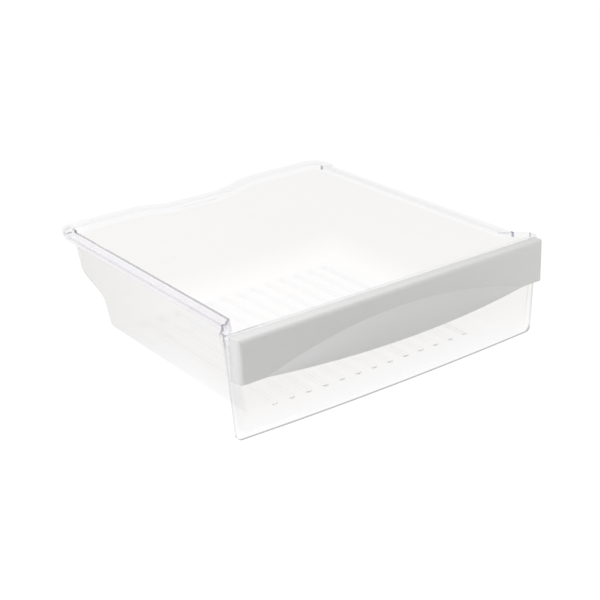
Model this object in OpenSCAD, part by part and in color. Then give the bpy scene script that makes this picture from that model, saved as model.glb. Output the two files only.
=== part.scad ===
// Refrigerator snack drawer: a clear moulded pan that hangs by its side flanges,
// with a white moulded handle trim bonded to the front of its deep front panel.
// Millimetres. X runs across the drawer, Y from front to back, Z up.
// The origin is the middle of the drawer's footprint, at the lowest point of the front panel.
// Inside the modules, y = 0 is the panel's front face and z = 0 the ends of its bottom edge.

/* [Front panel] */
// Width of the panel along the ends of its bottom edge
panel_bottom_w = 383.6; // [370:0.2:400]
// Width of the panel at the height of the rim
panel_top_w = 396.6; // [384:0.2:410]
// Thickness of the panel
panel_t = 3; // [2:0.1:4]
// How far the panel's bottom edge bows down in the middle
panel_crown = 3.1; // [0.5:0.1:6]
// Radius of the panel's bottom corners
panel_corner_r = 6.5; // [4:0.5:18]

/* [Tub] */
// Height of the side flanges above the ends of the panel's bottom edge
rim_z = 110.6; // [95:0.2:130]
// Clear width between the side walls at the rim
tub_w = 343.6; // [325:0.2:350]
// Thickness of the walls, floor and flanges
wall = 2.5; // [2:0.1:3.5]
// Lean of the side walls, degrees
side_lean = 7.6; // [2:0.1:9]
// Height of the floor's underside above the ends of the panel's bottom edge
floor_z = 2.2; // [0:0.1:8]
// Inside radius where the walls meet the floor
floor_r = 5; // [2:0.5:8]
// Inside radius of the upright rear corners
corner_r = 5; // [2:0.5:10]
// Depth at which the splayed front corners start to turn outward
splay_y = 32; // [24:0.5:40]
// How far the splayed corners reach out beyond the side walls, at 45 degrees
splay_w = 23.2; // [14:0.2:24]

/* [Stepped back] */
// Depth of the lower back wall's inner face, at the height of the step
step_y = 310.5; // [280:0.5:315]
// Height of the step between the lower back wall and the ledge
step_z = 48.5; // [35:0.5:60]
// Lean of the lower back wall, degrees
step_lean = 2.5; // [1:0.5:8]
// Rise of the ledge towards the back, degrees
ledge_rise = 16; // [8:0.5:25]
// Length over which the step and the ledge's rear corner blend, front to back
blend = 28; // [10:1:36]

/* [Wavy rear rim] */
// Depth of the upper back wall's inner face at the left
back_y = 353; // [345:0.5:370]
// How far the wave turns in from the left
wave_dip = 14.5; // [4:0.5:18]
// How far the wave swings out again at the right
wave_rise = 22.5; // [6:0.5:26]
// Where the turn inward starts, measured from the centre plane
dip_x = -90; // [-110:1:-70]
// Width of the turn inward
dip_w = 50; // [35:1:60]
// Where the swing outward starts, measured from the centre plane
rise_x = 8; // [-5:1:20]
// Width of the swing outward
rise_w = 82; // [60:1:100]
// Height of the rear rim above the side flanges
rear_rise = 2.8; // [1:0.1:6]
// Depth at which the rim steps up to the rear
rear_rise_y = 343; // [320:0.5:344]

/* [Flanges] */
// Width over the two side flanges
flange_w = 371; // [366:0.5:380]
// Width of the rear flange, from the wall's inner face
rear_flange_w = 17; // [12:0.5:22]
// Radius of the flange's rear corners
flange_corner_r = 22; // [10:0.5:26]
// Height of the lip turned down along the side flanges; the rear lip ends level with their underside
lip_h = 6; // [4:0.5:10]

/* [Floor ribs] */
// Number of ribs along the floor
rib_count = 13; // [3:2:13]
// Distance from rib to rib
rib_pitch = 21; // [16:0.5:22]
// Width of a rib
rib_w = 9.5; // [7:0.5:12]
// Height of a rib above the floor
rib_h = 1.6; // [0.8:0.1:2]
// Depth at which the ribs start behind the panel's front face
rib_front_y = 31; // [20:1:50]
// Plain floor left between the ribs and the lower back wall
rib_back_gap = 10; // [8:1:30]

/* [Handle trim] */
// Width of the handle at its back
handle_w = 388; // [376:0.5:396]
// Depth of the handle in front of the panel
handle_d = 14.4; // [11:0.2:20]
// Height of the handle's straight bottom edge
handle_bottom_z = 64.5; // [50:0.5:75]
// How far the handle's top lies below the rim
handle_top_drop = 1.2; // [0:0.1:4]
// Wall thickness of the handle
handle_wall = 2.2; // [1.6:0.1:3]
// Radius along the handle's top front edge
handle_top_r = 4; // [2.5:0.5:6]
// Radius of the handle's upright ends
handle_end_r = 6; // [3:0.5:9]
// Height of the strip that bonds the handle's top to the panel
bond_h = 12; // [6:0.5:15]

/* [Finger lip] */
// Length of the crescent lip along the handle
crescent_w = 328; // [260:1:340]
// Height of the crescent's crease above the straight bottom edge
crescent_rise = 26.5; // [18:0.5:30]
// How far the lip flares forward of the handle's face
crescent_flare = 11; // [4:0.5:16]
// How far the lip drops below the straight bottom edge
crescent_drop = 4.6; // [1:0.1:8]

/* [Hidden] */

// Amount by which one solid runs into the next one that it is joined to, or past a face that it cuts
overlap = 1;
round_steps = 6;
crown_steps = 28;
wave_steps = 40;
lip_stations = 44;
lip_steps = 8;
level_step = 3;
// Length left off each end of the crescent, where its height would run out to nothing
crescent_tip = 0.5;
circle_fn = 48;

rear_z = rim_z + rear_rise;
rear_lip_h = rear_rise + wall;
panel_side = (panel_top_w - panel_bottom_w) / 2 / rim_z;
handle_top_z = rim_z - handle_top_drop;
rear_y_max = max(back_y, back_y - wave_dip + wave_rise) + rear_flange_w;
front_y_min = -handle_d - crescent_flare;
middle_y = (rear_y_max + front_y_min) / 2;

// 0 before the start, 1 after the end, an even S between them
function s_curve(t) = t <= 0 ? 0 : t >= 1 ? 1 : (1 - cos(180 * t)) / 2;

// Larger or smaller of two values, with the corner between them blended over the length k
function blend_bump(a, b, k) = pow(max(k - abs(a - b), 0) / k, 2) * k / 4;
function blend_max(a, b, k) = max(a, b) + blend_bump(a, b, k);
function blend_min(a, b, k) = min(a, b) - blend_bump(a, b, k);

// Height of a shallow circular arc at x, with its ends at +-half and its middle at rise
function arc_at(x, half, rise) =
    let (r = (half * half + rise * rise) / (2 * rise))
    sqrt(r * r - x * x) - (r - rise);

// Points of an arc about c, from angle a0 to a1
function arc_points(c, r, a0, a1, steps) =
    [for (i = [0 : steps]) let (a = a0 + (a1 - a0) * i / steps) c + r * [cos(a), sin(a)]];

// Middle of the box around a ring of points
function ring_middle(ring) =
    [for (k = [0 : 2]) let (v = [for (p = ring) p[k]]) (min(v) + max(v)) / 2];

// Closed solid through a stack of outlines with equal numbers of points. Each end is closed
// by a fan from its middle, because the outlines aren't convex.
module loft(rings) {
    n = len(rings[0]);
    m = len(rings);
    low = m * n;
    high = low + 1;
    sides = [
        for (j = [0 : m - 2], i = [0 : n - 1])
        let (k = (i + 1) % n)
        each [
            [j * n + i, (j + 1) * n + i, (j + 1) * n + k],
            [j * n + i, (j + 1) * n + k, j * n + k]
        ]
    ];
    first = [for (i = [0 : n - 1]) [low, i, (i + 1) % n]];
    last = [for (i = [0 : n - 1]) [high, (m - 1) * n + (i + 1) % n, (m - 1) * n + i]];
    polyhedron(
        points = concat([for (r = rings) each r], [ring_middle(rings[0]), ring_middle(rings[m - 1])]),
        faces = concat(first, sides, last),
        convexity = 8
    );
}

// Plan of the upper back wall's inner face: straight, in through one S curve, out through a longer one
function wave_y(x) =
    back_y - wave_dip * s_curve((x - dip_x) / dip_w) + wave_rise * s_curve((x - rise_x) / rise_w);

// Half width inside the tub at height z
function half_in(z) = tub_w / 2 - (rim_z - z) * tan(side_lean);

// Inner face of the back at (x, z): lower wall, blended step, rising ledge, blended corner, wavy upper wall
function lower_y(z) = step_y - (step_z - z) * tan(step_lean);
function ledge_y(z) = step_y + (z - step_z) / tan(ledge_rise);
function back_in(x, z, shift) =
    blend_min(blend_max(lower_y(z), ledge_y(z + shift / cos(ledge_rise)), blend), wave_y(x), blend);

// Outline of the tub at height z. out is the distance outside the inner faces,
// tuck draws the sides and back in where the floor's radius starts, y0 is the front end.
function tub_ring(z, out, tuck, y0) =
    let (
        w = half_in(z) + out - tuck,
        r = corner_r + out,
        bend = out * (sqrt(2) - 1),
        xs = w - r,
        right = back_in(w, z, out) + out - tuck - r,
        left = back_in(-w, z, out) + out - tuck - r
    )
    concat(
        [[w + splay_w, y0], [w + splay_w, splay_y - splay_w + bend], [w, splay_y + bend]],
        arc_points([xs, right], r, 0, 90, round_steps),
        [for (i = [1 : wave_steps - 1])
            let (x = xs * (1 - 2 * i / wave_steps))
            [x, back_in(x, z, out) + out - tuck]],
        arc_points([-xs, left], r, 90, 180, round_steps),
        [[-w, splay_y + bend], [-w - splay_w, splay_y - splay_w + bend], [-w - splay_w, y0]]
    );

// Tub volume up to top_z: the floor's radius, plain walls, close levels through the step, upper wall
module tub_volume(out, y0, top_z) {
    base = floor_z + wall - out;
    r = floor_r + out;
    rounded = [
        for (i = [0 : round_steps - 1])
        let (a = 90 * i / round_steps)
        [base + r * (1 - cos(a)), r * (1 - sin(a))]
    ];
    levels = [for (z = [step_z - blend / 2 : level_step : step_z + blend]) [z, 0]];
    stack = concat(rounded, [[base + r, 0]], levels, [[top_z, 0]]);
    loft([for (l = stack) [for (p = tub_ring(l[0], out, l[1], y0)) [p[0], p[1], l[0]]]]);
}

// Outline of the flange, drawn in by inset from its edge and run on by ahead at the front
function flange_ring(inset, ahead) =
    let (
        w = flange_w / 2 - inset,
        r = flange_corner_r - inset,
        xs = w - r,
        reach = rear_flange_w - inset,
        front = splay_y + tub_w / 2 + wall * sqrt(2) - flange_w / 2 - ahead
    )
    concat(
        [[w, front]],
        arc_points([xs, wave_y(w) + reach - r], r, 0, 90, round_steps),
        [for (i = [1 : wave_steps - 1]) let (x = xs * (1 - 2 * i / wave_steps)) [x, wave_y(x) + reach]],
        arc_points([-xs, wave_y(-w) + reach - r], r, 90, 180, round_steps),
        [[-w, front]]
    );

// Plan of the flange, open over the tub
module flange_plan() {
    difference() {
        polygon(flange_ring(0, 0));
        polygon(tub_ring(rim_z, 0, 0, 0));
    }
}

// Keeps what lies in front of or behind the step in the rim
module rim_zone(y0, y1) {
    intersection() {
        children();
        translate([-flange_w, y0]) square([2 * flange_w, y1 - y0]);
    }
}

// One level of the rim: flat flange with a lip turned down along its edge
module flange_level(top_z, edge_h, y0, y1) {
    translate([0, 0, top_z - wall]) linear_extrude(wall) rim_zone(y0, y1) flange_plan();
    translate([0, 0, top_z - edge_h]) linear_extrude(edge_h) rim_zone(y0, y1) difference() {
        flange_plan();
        polygon(flange_ring(wall, overlap));
    }
}

// Side flanges, the small riser across each, and the rear flange, raised to let the rails pass under it
module flanges() {
    flange_level(rim_z, lip_h, 0, rear_rise_y + wall);
    flange_level(rear_z, rear_lip_h, rear_rise_y, 2 * rear_y_max);
    translate([0, 0, rim_z - wall]) linear_extrude(wall + rear_rise)
        rim_zone(rear_rise_y, rear_rise_y + wall) flange_plan();
}

// Front view of the panel: sides leaning out, rounded bottom corners and a bowed bottom edge
module panel_outline() {
    lean = atan(panel_side);
    half = panel_bottom_w / 2 - panel_corner_r * (1 - sin(lean)) / cos(lean);
    right = arc_points([half, panel_corner_r], panel_corner_r, -90, -lean, round_steps);
    bow = [
        for (i = [1 : crown_steps - 1])
        let (x = half * (2 * i / crown_steps - 1))
        [x, -arc_at(x, half, panel_crown)]
    ];
    left = [for (i = [len(right) - 1 : -1 : 0]) [-right[i][0], right[i][1]]];
    polygon(concat(left, bow, right, [[panel_top_w / 2, rim_z], [-panel_top_w / 2, rim_z]]));
}

module front_panel() {
    translate([0, panel_t, 0]) rotate([90, 0, 0]) linear_extrude(panel_t) panel_outline();
}

// Plan of one rib: straight sides and round ends
module rib_plan(w, y0, y1) {
    translate([-w / 2, y0 + w / 2]) square([w, y1 - y0 - w]);
    for (y = [y0 + w / 2, y1 - w / 2]) translate([0, y]) circle(d = w, $fn = circle_fn);
}

// All the ribs, or with inset the hollows under them that keep the floor's thickness even
module ribs(base_z, height, inset) {
    rib_back_y = lower_y(floor_z) - floor_r - rib_back_gap;
    for (i = [0 : rib_count - 1])
        translate([(i - (rib_count - 1) / 2) * rib_pitch, 0, base_z])
            linear_extrude(height) rib_plan(rib_w - 2 * inset, rib_front_y + inset, rib_back_y - inset);
}

module clear_pan() color([0.9, 0.92, 0.95, 0.45]) placed() difference() {
    union() {
        difference() {
            union() {
                tub_volume(wall, panel_t / 2, rear_z);
                flanges();
            }
            tub_volume(0, -overlap, rear_z + overlap);
            translate([-panel_top_w, -overlap, rim_z])
                cube([2 * panel_top_w, rear_rise_y + overlap, rear_rise + overlap]);
        }
        front_panel();
        ribs(floor_z + wall - overlap, rib_h + overlap, 0);
    }
    ribs(floor_z - overlap, rib_h + overlap, wall);
}

// Side view of the handle, inset from its outer faces, rounded along the top front edge
module handle_side(inset, back, bottom) {
    r = handle_top_r - inset;
    front = -handle_d + inset;
    top = handle_top_z - inset;
    polygon(concat(
        [[back, bottom], [back, top]],
        arc_points([front + r, top - r], r, 90, 180, round_steps),
        [[front, bottom]]
    ));
}

// Plan of the handle, with its front corners rounded
module handle_plan(inset, back) {
    w = handle_w / 2 - inset;
    r = handle_end_r - inset;
    front = -handle_d + inset;
    polygon(concat(
        [[-w, back]],
        arc_points([-w + r, front + r], r, 180, 270, round_steps),
        arc_points([w - r, front + r], r, 270, 360, round_steps),
        [[w, back]]
    ));
}

module handle_block(inset, back, bottom) {
    intersection() {
        translate([-handle_w, 0, 0]) rotate([90, 0, 90]) linear_extrude(2 * handle_w)
            handle_side(inset, back, bottom);
        translate([0, 0, bottom]) linear_extrude(handle_top_z) handle_plan(inset, back);
    }
}

// Section of the crescent at station x: from the crease on the handle's face a convex curve
// swells forward and ends upright at the lip's bottom edge
function crescent_section(x, inset, back) =
    let (
        half = crescent_w / 2,
        crease = handle_bottom_z + arc_at(x, half, crescent_rise),
        low = handle_bottom_z - arc_at(x, half, crescent_drop),
        flare = arc_at(x, half, crescent_flare),
        height = crease - low,
        turn = 2 * atan(flare / max(height, 0.01)),
        r = height / max(sin(turn), 0.001),
        front = -handle_d - flare + inset,
        base = low - (inset > 0 ? overlap : 0)
    )
    concat(
        [[x, back, base]],
        inset > 0 ? [[x, front, base]] : [],
        [
            for (i = [0 : lip_steps])
            let (a = turn * i / lip_steps)
            [x, front + r * (1 - cos(a)), low + r * sin(a)]
        ],
        [[x, back, crease]]
    );

module crescent(inset, back) {
    half = crescent_w / 2 - crescent_tip - inset;
    loft([for (i = [0 : lip_stations]) crescent_section(half * (1 - 2 * i / lip_stations), inset, back)]);
}

// Space for the fingers, open below and closed at its ends by upright webs
module finger_pocket() {
    half = crescent_w / 2 - handle_wall;
    intersection() {
        handle_block(handle_wall, overlap, handle_bottom_z - overlap);
        translate([-half, -2 * handle_d, 0]) cube([2 * half, 3 * handle_d, rim_z]);
    }
    crescent(handle_wall, overlap);
}

// Closed hollows at the two ends of the handle, open only towards the panel
module end_pockets() {
    half = crescent_w / 2 + handle_wall / 2;
    difference() {
        handle_block(handle_wall, overlap, handle_bottom_z + handle_wall);
        translate([-half, -2 * handle_d, 0]) cube([2 * half, 3 * handle_d, rim_z]);
    }
}

module bond_strip() {
    half = handle_w / 2 - handle_wall;
    translate([-half, -handle_wall, handle_top_z - bond_h])
        cube([2 * half, handle_wall, bond_h - handle_wall / 2]);
}

module handle_trim() color([0.93, 0.94, 0.93]) placed() {
    difference() {
        union() {
            handle_block(0, 0, handle_bottom_z);
            crescent(0, 0);
        }
        finger_pocket();
        end_pockets();
    }
    bond_strip();
}

// Moves a piece from the panel's front face to the middle of the footprint
module placed() {
    translate([0, -middle_y, panel_crown]) children();
}

clear_pan();
handle_trim();
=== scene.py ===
import math

import bmesh
import bpy
from mathutils import Matrix, Vector


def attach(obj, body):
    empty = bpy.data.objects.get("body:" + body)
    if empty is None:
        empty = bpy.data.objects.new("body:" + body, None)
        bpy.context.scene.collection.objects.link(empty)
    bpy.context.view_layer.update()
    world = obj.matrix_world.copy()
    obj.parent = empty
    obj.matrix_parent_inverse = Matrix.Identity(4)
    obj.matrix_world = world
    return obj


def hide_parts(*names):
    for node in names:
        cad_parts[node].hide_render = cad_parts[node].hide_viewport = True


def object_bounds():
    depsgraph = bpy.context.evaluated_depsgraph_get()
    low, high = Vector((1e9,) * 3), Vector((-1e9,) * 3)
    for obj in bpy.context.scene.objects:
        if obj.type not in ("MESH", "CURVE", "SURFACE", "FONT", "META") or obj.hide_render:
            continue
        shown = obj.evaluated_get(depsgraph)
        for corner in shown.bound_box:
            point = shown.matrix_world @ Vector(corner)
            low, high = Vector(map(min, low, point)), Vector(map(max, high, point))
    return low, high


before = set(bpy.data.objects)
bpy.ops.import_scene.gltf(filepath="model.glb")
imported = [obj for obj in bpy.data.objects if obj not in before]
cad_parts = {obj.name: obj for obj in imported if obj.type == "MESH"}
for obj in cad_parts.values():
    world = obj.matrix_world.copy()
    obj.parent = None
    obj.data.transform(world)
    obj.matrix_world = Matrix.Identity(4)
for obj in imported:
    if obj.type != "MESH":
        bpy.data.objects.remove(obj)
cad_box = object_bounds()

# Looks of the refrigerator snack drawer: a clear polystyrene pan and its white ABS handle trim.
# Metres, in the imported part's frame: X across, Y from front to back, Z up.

MM = 0.001

# Camera at the photograph's viewpoint
CAMERA_PLACE = Vector((-0.75435, -1.09530, 0.60612))
CAMERA_YAW = 0.60927
CAMERA_PITCH = 0.40451
CAMERA_ROLL = 0.04321
CAMERA_LENS_MM = 78.23
CAMERA_SENSOR_MM = 36.0

# Even room light, white backdrop, and square softboxes that face the handle: name, place, watts
# and colour
ROOM_LEVEL = 0.30
BACKDROP_LEVEL = 1.0
SOFTBOX_SIDE = 0.5
HANDLE_MIDDLE = Vector((0, -0.18, 0.08))
SOFTBOXES = (
    ("left_softbox", (-1.0, -0.35, 0.9), 8.8, "#FAFBFF"),
    ("back_top_softbox", (-0.10, 0.385, 0.90), 3.6, "#FFFFFF"),
    ("right_low_softbox", (0.45, -0.55, 0.12), 1.0, "#FFFFFF"),
)

# The paper under the drawer: its colour under the lamps, how much of its look is its own white
# for the rays that see the backdrop, and how bright that white is
PAPER_COLOUR = "#EEEEEE"
PAPER_OWN_WHITE = 0.9
PAPER_GLOW = 1.09
PAPER_WIDTH = 8.0
PAPER_GAP = 0.05 * MM

# The melt's flow leaves faint waves in the clear plastic, from crest to crest
MELT_WAVE = 45 * MM
MELT_WAVE_DEPTH = 0.4 * MM
# Slight lavender of the plastic's own body
PLASTIC_BODY = "#B9B4D6"
PLASTIC_BODY_DENSITY = 4.0

# The haze that the first face on the way lays over the view: on the pan's floor, up its walls, on
# the outside of the side walls at the rear, where it is darker as a painted reflection of darker
# surroundings, and on the flange. The faces behind it add next to nothing
FLOOR_HAZE = "#FBFAF9"
WALL_HAZE = "#F2F1EF"
REAR_SIDE_PAINTED_REFLECTION = "#E8E7E5"
FLANGE_HAZE = "#F6F5F5"
LATER_FACE_HAZE = "#FEFEFE"

# How much of the view the clear plastic bends
FLOOR_BENT_SHARE = 0.03
WALL_BENT_SHARE = 0.10
LEFT_RIM_BENT_SHARE = 0.42
OTHER_RIM_BENT_SHARE = 0.04
# How much of that is taken off at the rear corners, on the left rim's outer lip, and at the
# panel's left end
REAR_CORNER_CALM = 0.85
OUTER_LIP_CALM = 0.5
PANEL_END_CALM = 1.0

# Slow changes over the pan: what is measured, where the change starts and ends, and the value at
# its start and end
CHANGES = {
    "up_the_wall": ("Z", 0.008, 0.045, 0.0, 1.0),
    # Where the painted reflection on the outside of the side walls grows towards the rear
    "to_the_rear": ("Y", -0.05, 0.17, 0.0, 1.0),
    "onto_the_flange": ("Z", 0.1085, 0.1095, 0.0, 1.0),
    "panel_foot": ("Z", 0.006, 0.012, 1.0, 0.3),
    "panel_top": ("Z", 0.105, 0.108, 1.0, 0.0),
    "rim_bending": ("X", -0.165, -0.145, LEFT_RIM_BENT_SHARE, OTHER_RIM_BENT_SHARE),
    "up_to_the_rim": ("Z", 0.100, 0.106, 0.0, 1.0),
}

# Places on the pan, each by its limits: what is measured, its middle and its reach. "across" is
# the distance from the middle plane and "slant" is across plus Y, so both halves are alike there.
# "outward" is across on the outside of a side wall and less than zero on its inside, and "facing"
# is how far a face looks along an axis
PLACES = {
    "first_face": (("faces passed", 0.0, 0.5),),
    "side_outside": (("outward", 0.17, 40 * MM),),
    "left_rim": (("X", -0.1800, 12 * MM), ("Z", 0.1100, 5 * MM)),
    "panel_edge": (("Y", -0.1748, 1.45 * MM), ("facing Y", 0.0, 0.5)),
    "rib_tip": (("Y", -0.1448, 0.8 * MM), ("Z", 0.0087, 1.2 * MM), ("facing Z", 0.0, 0.5)),
    "splay_edge": (("slant", 0.0292, 2.0 * MM), ("Y", -0.1490, 5.0 * MM),
                   ("Z", 0.1133, 0.8 * MM)),
    "splay_corner": (("across", 0.1974, 0.6 * MM), ("Y", -0.1665, 1.4 * MM),
                     ("Z", 0.1095, 4.5 * MM)),
    "lip_end": (("across", 0.1848, 1.8 * MM), ("Y", -0.1525, 1.8 * MM),
                ("Z", 0.1110, 3.0 * MM)),
    "rear_fold": (("across", 0.1705, 2.2 * MM), ("Y", 0.1715, 2.6 * MM),
                  ("Z", 0.1135, 2.4 * MM)),
    "rear_corner": (("across", 0.1850, 14 * MM), ("Y", 0.1870, 14 * MM)),
    "outer_lip": (("X", -0.1880, 5 * MM),),
    "panel_left_end": (("X", -0.160, 40 * MM), ("Y", -0.160, 17.5 * MM),
                       ("Z", 0.050, 52 * MM)),
}

# The places that look grey, each laid over the ones before it: the left rim, the panel's cut
# edges, the ribs' front tips, and where the rim folds, which is along the top and down the outer
# corner of each splayed corner, at the lip's front ends, and at the step up to the rear rim. Their
# grey is the plastic's own lavender along long paths, deepened by painted shade where these edges
# and folds bend the view
TINTS = {
    "left_rim": "#F8F7F8",
    "panel_edge": "#C4C4C8",
    "rib_tip": "#E0E0E2",
    "splay_edge": "#E2E2E8",
    "splay_corner": "#CCCCD2",
    "lip_end": "#B0ACBC",
    "rear_fold": "#B4B4B8",
}

# White ABS: its two tones, its gloss, and the sizes of its grain and of its slow change in gloss.
# The grain is 0.3 mm on such a part and is drawn at 1 mm, the finest that shows in the render
ABS_TONE_LOW = "#E4E4E1"
ABS_TONE_HIGH = "#E8E8E6"
ABS_ROUGHNESS_LOW = 0.34
ABS_ROUGHNESS_HIGH = 0.42
ABS_GRAIN = 1 * MM
ABS_GRAIN_DEPTH = 0.02 * MM
ABS_FLOW = 60 * MM
# Most of a noise's values lie between these
NOISE_LOW = 0.3
NOISE_HIGH = 0.7

# A turn past the first angle is shaded as an edge, and one past the second gets the mould's radius
SMOOTH_ANGLE = math.radians(32)
CORNER_ANGLE = math.radians(50)
MOULD_RADIUS = 0.7 * MM
MOULD_RADIUS_STEPS = 3
# Faces count by their own area, no more and no less, where their shading is evened out
EVEN_WEIGHT = 50
# The handle's flat face, which the crescent's crease lies in, and where its top's round starts
HANDLE_FACE_Y = -0.1907
HANDLE_ROUND_Z = 0.1075
CREASE_REACH = 0.05 * MM
# What counts as one point and as one flat face when a CAD node's triangles are joined up
MERGE_DISTANCE = 0.001 * MM
FLAT_ANGLE = math.radians(0.3)

# A ray can meet both faces of every wall, rib and rim on its way
ALL_BOUNCES = 24
BENT_BOUNCES = 20
STRAIGHT_BOUNCES = 24

# A colour Mix node's sockets: its share, its first and second colour, and its result
MIX_SHARE, MIX_FIRST, MIX_SECOND, MIX_RESULT = 0, 6, 7, 2


def linear(hex_colour):
    """sRGB hex to a linear RGBA colour."""
    channels = [int(hex_colour[i:i + 2], 16) / 255 for i in (1, 3, 5)]
    return (*[c / 12.92 if c <= 0.04045 else ((c + 0.055) / 1.055) ** 2.4 for c in channels], 1.0)


def add_node(tree, kind, settings=None, inputs=None, links=None):
    """Adds one shader node. settings are its properties, inputs its values and links its wires."""
    node = tree.nodes.new(kind)
    for name, value in (settings or {}).items():
        setattr(node, name, value)
    for name, value in (inputs or {}).items():
        node.inputs[name].default_value = value
    for name, source in (links or {}).items():
        tree.links.new(source, node.inputs[name])
    return node


def new_material(name):
    material = bpy.data.materials.new(name)
    material.use_nodes = True
    material.node_tree.nodes.clear()
    return material


def pan_measures(tree, place, rays):
    """The sockets that the pan's places and changes are measured by."""
    where = add_node(tree, "ShaderNodeSeparateXYZ", links={0: place["Object"]}).outputs
    facing = add_node(tree, "ShaderNodeSeparateXYZ", links={0: place["Normal"]}).outputs
    across = add_node(tree, "ShaderNodeMath", settings={"operation": "ABSOLUTE"},
                      links={0: where["X"]}).outputs[0]
    slant = add_node(tree, "ShaderNodeMath", settings={"operation": "ADD"},
                     links={0: across, 1: where["Y"]}).outputs[0]
    outward = add_node(tree, "ShaderNodeMath", settings={"operation": "MULTIPLY"},
                       links={0: facing["X"], 1: where["X"]}).outputs[0]
    return {"X": where["X"], "Y": where["Y"], "Z": where["Z"], "across": across, "slant": slant,
            "outward": outward, "facing Y": facing["Y"], "facing Z": facing["Z"],
            "faces passed": rays["Transparent Depth"]}


def inside_limits(tree, measures, limits):
    """One inside every limit of a place, else zero."""
    inside = None
    for measure, middle, reach in limits:
        near = add_node(tree, "ShaderNodeMath", settings={"operation": "COMPARE"},
                        inputs={1: middle, 2: reach}, links={0: measures[measure]}).outputs[0]
        if inside is not None:
            near = add_node(tree, "ShaderNodeMath", settings={"operation": "MULTIPLY"},
                            links={0: inside, 1: near}).outputs[0]
        inside = near
    return inside


def pan_tint(tree, at, change):
    """Colour that the view takes on where it goes straight through the plastic, with a painted
    reflection on the rear of the side walls and painted shade along the edges and folds.
    """
    rear_side = add_node(tree, "ShaderNodeMath", settings={"operation": "MULTIPLY"},
                         links={0: at["side_outside"], 1: change["to_the_rear"]}).outputs[0]
    haze_and_reflection = add_node(tree, "ShaderNodeMix", settings={"data_type": "RGBA"},
                    inputs={MIX_FIRST: linear(FLOOR_HAZE), MIX_SECOND: linear(WALL_HAZE)},
                    links={MIX_SHARE: change["up_the_wall"]}).outputs[MIX_RESULT]
    # The outside of the side walls at the rear gets a painted reflection of darker surroundings
    for share, colour in ((rear_side, REAR_SIDE_PAINTED_REFLECTION), (change["onto_the_flange"], FLANGE_HAZE)):
        haze_and_reflection = add_node(tree, "ShaderNodeMix", settings={"data_type": "RGBA"},
                        inputs={MIX_SECOND: linear(colour)},
                        links={MIX_SHARE: share, MIX_FIRST: haze_and_reflection}).outputs[MIX_RESULT]
    tint = add_node(tree, "ShaderNodeMix", settings={"data_type": "RGBA"},
                    inputs={MIX_FIRST: linear(LATER_FACE_HAZE)},
                    links={MIX_SHARE: at["first_face"], MIX_SECOND: haze_and_reflection}).outputs[MIX_RESULT]
    # The panel's cut edges are painted greyest at its foot, and their painted grey ends below its
    # top
    edge_share = add_node(tree, "ShaderNodeMath", settings={"operation": "MULTIPLY"},
                          links={0: change["panel_foot"], 1: change["panel_top"]}).outputs[0]
    panel_edge = add_node(tree, "ShaderNodeMath", settings={"operation": "MULTIPLY"},
                          links={0: edge_share, 1: at["panel_edge"]}).outputs[0]
    # The plastic's lavender and the painted shade along its edges and folds, laid over the haze
    for name, colour in TINTS.items():
        share = panel_edge if name == "panel_edge" else at[name]
        tint = add_node(tree, "ShaderNodeMix", settings={"data_type": "RGBA"},
                        inputs={MIX_SECOND: linear(colour)},
                        links={MIX_SHARE: share, MIX_FIRST: tint}).outputs[MIX_RESULT]
    return tint


def pan_bending(tree, at, change):
    """Share of the view that the plastic bends: least on the floor, more on the walls, and most on
    the left rim, which the photograph shows along its full width."""
    broad = add_node(tree, "ShaderNodeMath", settings={"operation": "MULTIPLY_ADD"},
                     inputs={1: WALL_BENT_SHARE - FLOOR_BENT_SHARE, 2: FLOOR_BENT_SHARE},
                     links={0: change["up_the_wall"]}).outputs[0]
    kept_broad = add_node(tree, "ShaderNodeMath", settings={"operation": "MULTIPLY_ADD"},
                          inputs={1: -PANEL_END_CALM, 2: 1.0},
                          links={0: at["panel_left_end"]}).outputs[0]
    calm_broad = add_node(tree, "ShaderNodeMath", settings={"operation": "MULTIPLY"},
                          links={0: broad, 1: kept_broad}).outputs[0]
    rim = add_node(tree, "ShaderNodeMath", settings={"operation": "MULTIPLY"},
                   links={0: change["rim_bending"], 1: change["up_to_the_rim"]}).outputs[0]
    kept_at_corner = add_node(tree, "ShaderNodeMath", settings={"operation": "MULTIPLY_ADD"},
                              inputs={1: -REAR_CORNER_CALM, 2: 1.0},
                              links={0: at["rear_corner"]}).outputs[0]
    kept_rim = add_node(tree, "ShaderNodeMath", settings={"operation": "MULTIPLY_ADD"},
                        inputs={1: -OUTER_LIP_CALM},
                        links={0: at["outer_lip"], 2: kept_at_corner}).outputs[0]
    calm_rim = add_node(tree, "ShaderNodeMath", settings={"operation": "MULTIPLY"},
                        links={0: rim, 1: kept_rim}).outputs[0]
    return add_node(tree, "ShaderNodeMath", settings={"operation": "MAXIMUM"},
                    links={0: calm_broad, 1: calm_rim}).outputs[0]


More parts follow.
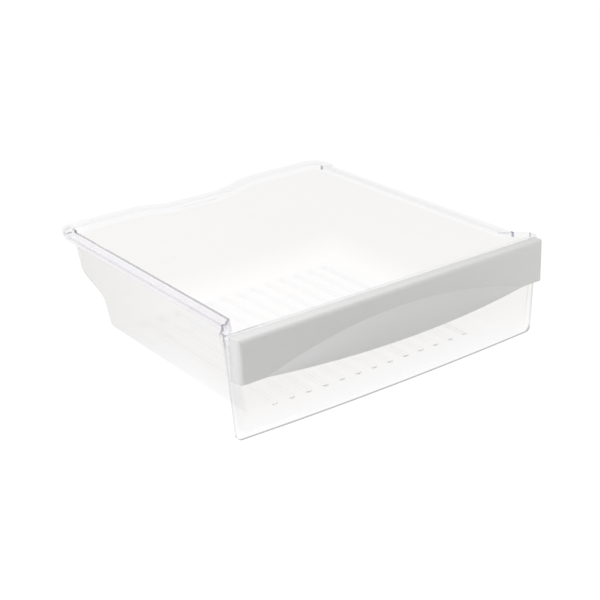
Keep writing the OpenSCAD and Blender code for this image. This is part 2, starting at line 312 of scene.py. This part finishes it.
def clear_polystyrene():
    """Clear injection-moulded polystyrene with polished faces: a light haze over whatever is
    behind it, a painted reflection on the rear of its side walls, and fine lavender and grey lines
    with painted shade where the rim and the cut edges bend the view."""
    material = new_material("clear_polystyrene_moulded")
    tree = material.node_tree
    place = add_node(tree, "ShaderNodeTexCoord").outputs
    rays = add_node(tree, "ShaderNodeLightPath").outputs
    face = add_node(tree, "ShaderNodeNewGeometry").outputs
    measures = pan_measures(tree, place, rays)
    at = {name: inside_limits(tree, measures, limits) for name, limits in PLACES.items()}
    change = {name: add_node(tree, "ShaderNodeMapRange",
                             inputs={"From Min": start, "From Max": end,
                                     "To Min": first, "To Max": last},
                             links={"Value": measures[measure]}).outputs[0]
              for name, (measure, start, end, first, last) in CHANGES.items()}
    waves = add_node(tree, "ShaderNodeTexNoise",
                     inputs={"Scale": 1 / MELT_WAVE, "Detail": 1.0, "Roughness": 0.4},
                     links={"Vector": place["Object"]})
    bump = add_node(tree, "ShaderNodeBump", inputs={"Strength": 0.25, "Distance": MELT_WAVE_DEPTH},
                    links={"Height": waves.outputs["Fac"]})
    plastic = add_node(tree, "ShaderNodeBsdfPrincipled",
                       inputs={"Base Color": linear("#FFFFFF"), "Roughness": 0.03, "IOR": 1.59,
                               "Transmission Weight": 1.0},
                       links={"Normal": bump.outputs["Normal"]})
    body = add_node(tree, "ShaderNodeVolumeAbsorption",
                    inputs={"Color": linear(PLASTIC_BODY), "Density": PLASTIC_BODY_DENSITY})
    passing = add_node(tree, "ShaderNodeBsdfTransparent",
                       links={"Color": pan_tint(tree, at, change)})
    # A share of the view is bent as it enters the plastic and stays bent. The rest of it and the
    # lamps' light go straight through
    outside = add_node(tree, "ShaderNodeMath", settings={"operation": "SUBTRACT", "use_clamp": True},
                       links={0: rays["Is Camera Ray"], 1: face["Backfacing"]}).outputs[0]
    entering = add_node(tree, "ShaderNodeMath", settings={"operation": "MULTIPLY"},
                        links={0: outside, 1: pan_bending(tree, at, change)}).outputs[0]
    bent = add_node(tree, "ShaderNodeMath", settings={"operation": "ADD"},
                    links={0: rays["Is Glossy Ray"], 1: rays["Is Transmission Ray"]}).outputs[0]
    glassy = add_node(tree, "ShaderNodeMath", settings={"operation": "ADD", "use_clamp": True},
                      links={0: entering, 1: bent}).outputs[0]
    mixed = add_node(tree, "ShaderNodeMixShader",
                     links={0: glassy, 1: passing.outputs[0], 2: plastic.outputs[0]})
    add_node(tree, "ShaderNodeOutputMaterial",
             links={"Surface": mixed.outputs[0], "Volume": body.outputs[0]})
    return material


def white_abs():
    """Opaque white injection-moulded ABS, semi-gloss: an even warm white with a soft broad sheen,
    from a fine spark-eroded grain that is felt more than seen."""
    material = new_material("white_abs_moulded")
    tree = material.node_tree
    place = add_node(tree, "ShaderNodeTexCoord").outputs
    grain = add_node(tree, "ShaderNodeTexNoise",
                     inputs={"Scale": 1 / ABS_GRAIN, "Detail": 2.0, "Roughness": 0.5},
                     links={"Vector": place["Object"]})
    flow = add_node(tree, "ShaderNodeTexNoise",
                    inputs={"Scale": 1 / ABS_FLOW, "Detail": 2.0, "Roughness": 0.5},
                    links={"Vector": place["Object"]})
    gloss = add_node(tree, "ShaderNodeMapRange",
                     inputs={"From Min": NOISE_LOW, "From Max": NOISE_HIGH,
                             "To Min": ABS_ROUGHNESS_LOW, "To Max": ABS_ROUGHNESS_HIGH},
                     links={"Value": flow.outputs["Fac"]})
    tone = add_node(tree, "ShaderNodeMix", settings={"data_type": "RGBA"},
                    inputs={MIX_FIRST: linear(ABS_TONE_LOW), MIX_SECOND: linear(ABS_TONE_HIGH)},
                    links={MIX_SHARE: flow.outputs["Fac"]})
    bump = add_node(tree, "ShaderNodeBump", inputs={"Strength": 0.12, "Distance": ABS_GRAIN_DEPTH},
                    links={"Height": grain.outputs["Fac"]})
    plastic = add_node(tree, "ShaderNodeBsdfPrincipled", inputs={"IOR": 1.53},
                       links={"Base Color": tone.outputs[MIX_RESULT],
                              "Roughness": gloss.outputs[0], "Normal": bump.outputs["Normal"]})
    add_node(tree, "ShaderNodeOutputMaterial", links={"Surface": plastic.outputs[0]})
    return material


def backdrop_rays(tree):
    """One for camera, glossy and transmission rays, which see the white backdrop, else zero."""
    rays = add_node(tree, "ShaderNodeLightPath").outputs
    seen = rays["Is Camera Ray"]
    for kind in ("Is Glossy Ray", "Is Transmission Ray"):
        seen = add_node(tree, "ShaderNodeMath", settings={"operation": "ADD", "use_clamp": True},
                        links={0: seen, 1: rays[kind]}).outputs[0]
    return seen


def paper_floor():
    """White matt paper: the rays that see the backdrop see mostly its own white, and a faint
    shadow of the drawer is left on it."""
    material = new_material("white_paper_sweep")
    tree = material.node_tree
    lit = add_node(tree, "ShaderNodeBsdfDiffuse", inputs={"Color": linear(PAPER_COLOUR)})
    glow = add_node(tree, "ShaderNodeEmission",
                    inputs={"Color": linear("#FFFFFF"), "Strength": PAPER_GLOW})
    share = add_node(tree, "ShaderNodeMath", settings={"operation": "MULTIPLY"},
                     inputs={1: PAPER_OWN_WHITE}, links={0: backdrop_rays(tree)})
    mixed = add_node(tree, "ShaderNodeMixShader",
                     links={0: share.outputs[0], 1: lit.outputs[0], 2: glow.outputs[0]})
    add_node(tree, "ShaderNodeOutputMaterial", links={"Surface": mixed.outputs[0]})
    return material


def photo_camera():
    """Camera with the photograph's place, turn and focal length."""
    ahead = Vector((math.sin(CAMERA_YAW) * math.cos(CAMERA_PITCH),
                    math.cos(CAMERA_YAW) * math.cos(CAMERA_PITCH),
                    -math.sin(CAMERA_PITCH)))
    level = Vector((math.cos(CAMERA_YAW), -math.sin(CAMERA_YAW), 0))
    down = ahead.cross(level)
    right = math.cos(CAMERA_ROLL) * level + math.sin(CAMERA_ROLL) * down
    up = math.sin(CAMERA_ROLL) * level - math.cos(CAMERA_ROLL) * down
    data = bpy.data.cameras.new("photo_camera")
    data.lens = CAMERA_LENS_MM
    data.sensor_width = CAMERA_SENSOR_MM
    camera = bpy.data.objects.new("photo_camera", data)
    turn = Matrix((right, up, -ahead)).transposed().to_4x4()
    camera.matrix_world = Matrix.Translation(CAMERA_PLACE) @ turn
    bpy.context.scene.collection.objects.link(camera)
    bpy.context.scene.camera = camera


def floor():
    """Flat white paper just under the drawer's lowest point."""
    bm = bmesh.new()
    bmesh.ops.create_grid(bm, x_segments=1, y_segments=1, size=PAPER_WIDTH / 2)
    bmesh.ops.translate(bm, verts=bm.verts, vec=(0, 0, cad_box[0].z - PAPER_GAP))
    mesh = bpy.data.meshes.new("paper_floor")
    bm.to_mesh(mesh)
    bm.free()
    mesh.materials.append(paper_floor())
    sheet = bpy.data.objects.new("paper_floor", mesh)
    bpy.context.scene.collection.objects.link(sheet)


def softbox(name, place, power, colour):
    """Square area light that faces the handle."""
    data = bpy.data.lights.new(name, "AREA")
    data.size = SOFTBOX_SIDE
    data.energy = power
    data.color = linear(colour)[:3]
    lamp = bpy.data.objects.new(name, data)
    facing = (HANDLE_MIDDLE - Vector(place)).to_track_quat("-Z", "Y").to_matrix().to_4x4()
    lamp.matrix_world = Matrix.Translation(place) @ facing
    lamp.visible_camera = False
    lamp.visible_glossy = False
    lamp.visible_transmission = False
    bpy.context.scene.collection.objects.link(lamp)


def studio():
    """White backdrop for the rays that see it, an even room light for the rest, and softboxes."""
    world = bpy.data.worlds.new("studio")
    bpy.context.scene.world = world
    world.use_nodes = True
    tree = world.node_tree
    tree.nodes.clear()
    room = add_node(tree, "ShaderNodeBackground",
                    inputs={"Color": linear("#FFFFFF"), "Strength": ROOM_LEVEL})
    backdrop = add_node(tree, "ShaderNodeBackground",
                        inputs={"Color": linear("#FFFFFF"), "Strength": BACKDROP_LEVEL})
    mixed = add_node(tree, "ShaderNodeMixShader",
                     links={0: backdrop_rays(tree), 1: room.outputs[0], 2: backdrop.outputs[0]})
    add_node(tree, "ShaderNodeOutputWorld", links={"Surface": mixed.outputs[0]})
    for name, place, power, colour in SOFTBOXES:
        softbox(name, place, power, colour)


def merged_copy(node, name, material):
    """Closed and merged copy of a CAD node, with its flat faces joined up and its curves smooth."""
    bm = bmesh.new()
    bm.from_mesh(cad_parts[node].data)
    bmesh.ops.remove_doubles(bm, verts=bm.verts, dist=MERGE_DISTANCE)
    bmesh.ops.dissolve_limit(bm, angle_limit=FLAT_ANGLE, verts=bm.verts, edges=bm.edges)
    mesh = bpy.data.meshes.new(name)
    bm.to_mesh(mesh)
    bm.free()
    mesh.shade_smooth()
    mesh.set_sharp_from_angle(angle=SMOOTH_ANGLE)
    mesh.materials.append(material)
    piece = bpy.data.objects.new(name, mesh)
    bpy.context.scene.collection.objects.link(piece)
    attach(piece, "root")
    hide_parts(node)
    return piece


def even_normals(piece):
    """Keeps the shading of wide flat walls flat where they run into small rounds."""
    weighted = piece.modifiers.new("even_normals", "WEIGHTED_NORMAL")
    weighted.mode = "FACE_AREA"
    weighted.weight = EVEN_WEIGHT
    weighted.keep_sharp = True


def soften_edges(piece, width):
    """Rounds the square edges of a piece, as its mould does."""
    bevel = piece.modifiers.new("mould_radius", "BEVEL")
    bevel.width = width
    bevel.segments = MOULD_RADIUS_STEPS
    bevel.limit_method = "ANGLE"
    bevel.angle_limit = CORNER_ANGLE


def keep_crease(trim):
    """Marks the crescent's crease sharp all along the handle's flat face."""
    mesh = trim.data
    for edge in mesh.edges:
        ends = [mesh.vertices[i].co for i in edge.vertices]
        if all(abs(p.y - HANDLE_FACE_Y) < CREASE_REACH and p.z < HANDLE_ROUND_Z for p in ends):
            edge.use_edge_sharp = True


def drawer():
    pan = merged_copy("clear_pan", "clear_pan_moulding", clear_polystyrene())
    even_normals(pan)
    trim = merged_copy("handle_trim", "handle_trim_moulding", white_abs())
    keep_crease(trim)
    soften_edges(trim, MOULD_RADIUS)
    even_normals(trim)


photo_camera()
floor()
studio()
drawer()

bpy.context.scene.view_settings.view_transform = "Standard"
bpy.context.scene.cycles.max_bounces = ALL_BOUNCES
bpy.context.scene.cycles.transmission_bounces = BENT_BOUNCES
bpy.context.scene.cycles.transparent_max_bounces = STRAIGHT_BOUNCES
